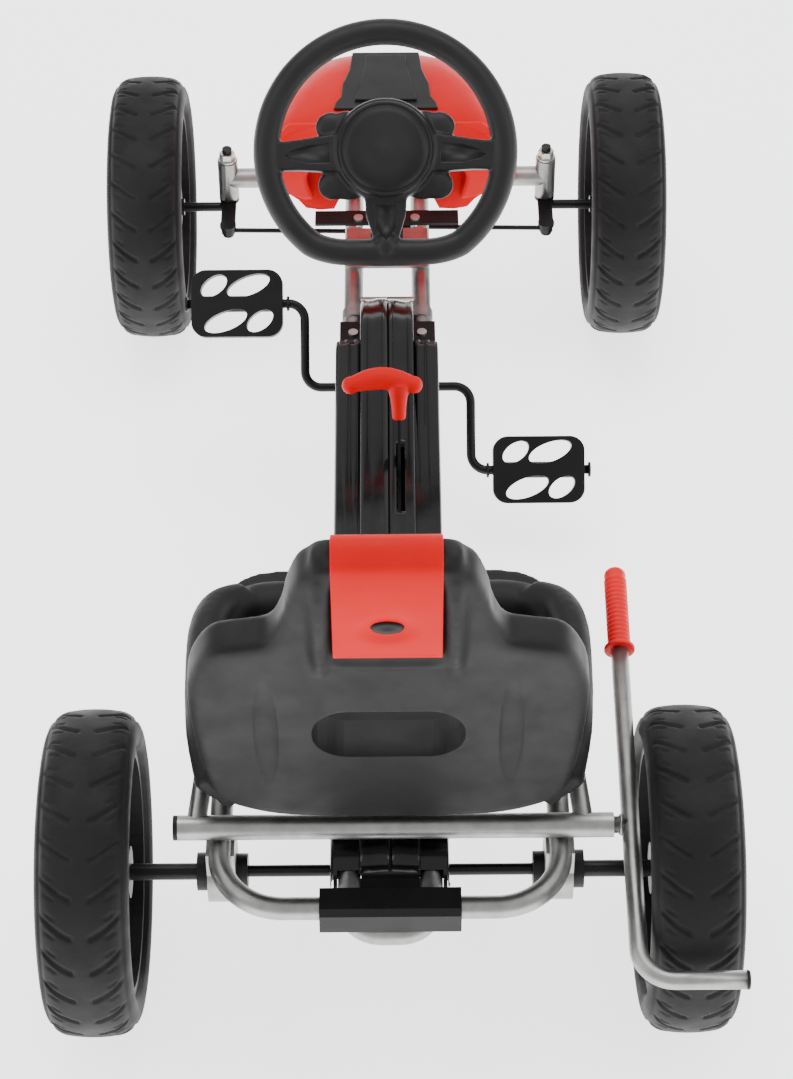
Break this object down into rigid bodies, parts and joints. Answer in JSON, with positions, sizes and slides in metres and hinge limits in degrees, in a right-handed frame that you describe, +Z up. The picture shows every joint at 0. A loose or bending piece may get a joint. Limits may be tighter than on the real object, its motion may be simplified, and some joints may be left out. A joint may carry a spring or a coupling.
{
  "type": "pedal go kart",
  "caption": "Child's ride-on pedal go kart: tube frame, bucket seat, steering wheel linked to the front wheels, crank and chain drive, hand brake on a rear tyre.",
  "frame": {"origin": "on the ground under the middle of the bounding box", "axes": "+Y is forward, +X is the driver's right, +Z is up"},
  "size_m": [0.605, 1.2564, 0.5904],
  "materials": {
    "steel_tube": "satin galvanised tube",
    "zinc": "bright zinc",
    "black_steel": "black powder coat",
    "drive_steel": "oiled steel",
    "black_plastic": "moulded black plastic",
    "guard_plastic": "glossy black plastic",
    "seat_plastic": "blow-moulded dark grey plastic",
    "wheel_grip": "soft satin plastic",
    "rim_plastic": "moulded black plastic",
    "tyre": "dark foam tyre",
    "red_plastic": "saturated red plastic",
    "red_grip": "red ribbed grip"
  },
  "bodies": {
    "chassis": {"main_frame": "steel_tube", "front_carrier": "steel_tube", "steering_stand": "steel_tube", "fairing_bracket": "black_steel", "frame_screws": "zinc", "crank_shell_left": "steel_tube", "crank_shell_right": "steel_tube", "seat_strap": "steel_tube", "seat_bracket_left": "steel_tube", "seat_bracket_right": "steel_tube", "seat_loop": "steel_tube", "rear_clamp": "black_steel", "clamp_bolts": "zinc", "cross_tube": "steel_tube", "cross_tube_plug": "black_plastic", "seat_brace_left": "steel_tube", "seat_brace_right": "steel_tube", "bearing_housing_left": "steel_tube", "bearing_housing_right": "steel_tube", "axle_bush_left": "black_plastic", "axle_bush_right": "black_plastic", "seat_shell": "seat_plastic", "head_panel": "red_plastic", "panel_plug": "black_plastic", "chain_guard_left": "guard_plastic", "chain_guard_right": "guard_plastic", "guard_plate": "black_steel", "gear_pivot": "zinc", "chain": "drive_steel", "fairing": "red_plastic", "hood_insert": "black_plastic"},
    "steering": {"steering_column": "black_steel", "steering_wheel": "wheel_grip", "hub_pad": "black_plastic", "hub_studs": "black_plastic"},
    "knuckle_left": {"knuckle_left": "black_steel", "kingpin_nuts_left": "zinc"},
    "knuckle_right": {"knuckle_right": "black_steel", "kingpin_nuts_right": "zinc"},
    "tie_rod_left": {"tie_rod_left": "black_steel"},
    "tie_rod_right": {"tie_rod_right": "black_steel"},
    "front_wheel_left": {"front_rim_left": "rim_plastic", "front_tyre_left": "tyre"},
    "front_wheel_right": {"front_rim_right": "rim_plastic", "front_tyre_right": "tyre"},
    "rear_axle": {"rear_axle": "black_steel", "rear_sprocket": "drive_steel", "rear_rim_right": "rim_plastic", "rear_tyre_right": "tyre"},
    "rear_wheel_left": {"rear_rim_left": "rim_plastic", "rear_tyre_left": "tyre"},
    "crank": {"crank_rod": "black_steel", "chain_ring": "drive_steel"},
    "pedal_left": {"pedal_left": "black_plastic"},
    "pedal_right": {"pedal_right": "black_plastic"},
    "brake_lever": {"brake_lever": "steel_tube", "brake_grip": "red_grip", "brake_end_cap": "black_plastic"},
    "gear_lever": {"gear_lever": "black_steel", "gear_handle": "red_plastic"}
  },
  "joints": [
    {"name": "steering_turn", "type": "hinge", "parent": "chassis", "child": "steering", "pos_m": [0, 0.1565, 0.47], "axis": [0, 0.7071, -0.7071], "range_deg": [-34, 34]},
    {"name": "knuckle_left_turn", "type": "hinge", "parent": "chassis", "child": "knuckle_left", "pos_m": [-0.176, 0.4825, 0.145], "axis": [0, 0, -1], "range_deg": [-24, 24]},
    {"name": "knuckle_right_turn", "type": "hinge", "parent": "chassis", "child": "knuckle_right", "pos_m": [0.176, 0.4825, 0.145], "axis": [0, 0, -1], "range_deg": [-24, 24]},
    {"name": "tie_rod_left_turn", "type": "hinge", "parent": "knuckle_left", "child": "tie_rod_left", "pos_m": [-0.176, 0.43307, 0.151], "axis": [0, 0, -1], "range_deg": [-24, 24]},
    {"name": "tie_rod_right_turn", "type": "hinge", "parent": "knuckle_right", "child": "tie_rod_right", "pos_m": [0.176, 0.43307, 0.151], "axis": [0, 0, -1], "range_deg": [-24, 24]},
    {"name": "front_wheel_left_spin", "type": "hinge", "parent": "knuckle_left", "child": "front_wheel_left", "pos_m": [-0.262, 0.4825, 0.145], "axis": [-1, 0, 0], "continuous": true},
    {"name": "front_wheel_right_spin", "type": "hinge", "parent": "knuckle_right", "child": "front_wheel_right", "pos_m": [0.262, 0.4825, 0.145], "axis": [-1, 0, 0], "continuous": true},
    {"name": "rear_axle_spin", "type": "hinge", "parent": "chassis", "child": "rear_axle", "pos_m": [0, -0.4635, 0.145], "axis": [-1, 0, 0], "continuous": true},
    {"name": "rear_wheel_left_spin", "type": "hinge", "parent": "rear_axle", "child": "rear_wheel_left", "pos_m": [-0.262, -0.4635, 0.145], "axis": [-1, 0, 0], "continuous": true},
    {"name": "crank_spin", "type": "hinge", "parent": "chassis", "child": "crank", "pos_m": [0, 0.1785, 0.145], "axis": [-1, 0, 0], "continuous": true},
    {"name": "pedal_left_spin", "type": "hinge", "parent": "crank", "child": "pedal_left", "pos_m": [-0.157, 0.24072, 0.20722], "axis": [-1, 0, 0], "continuous": true},
    {"name": "pedal_right_spin", "type": "hinge", "parent": "crank", "child": "pedal_right", "pos_m": [0.157, 0.11628, 0.08278], "axis": [-1, 0, 0], "continuous": true},
    {"name": "brake_pull", "type": "hinge", "parent": "chassis", "child": "brake_lever", "pos_m": [0.21, -0.4685, 0.212], "axis": [1, 0, 0], "range_deg": [0, 5.5]},
    {"name": "gear_shift", "type": "hinge", "parent": "chassis", "child": "gear_lever", "pos_m": [0.011, -0.0375, 0.168], "axis": [1, 0, 0], "range_deg": [0, 38]}
  ],
  "couplings": [
    {"joint": "knuckle_left_turn", "follows": "steering_turn", "ratio": 0.60696},
    {"joint": "knuckle_right_turn", "follows": "steering_turn", "ratio": 0.60696},
    {"joint": "tie_rod_left_turn", "follows": "steering_turn", "ratio": -0.60696},
    {"joint": "tie_rod_right_turn", "follows": "steering_turn", "ratio": -0.60696},
    {"joint": "crank_spin", "follows": "rear_axle_spin", "ratio": 0.47059}
  ]
}
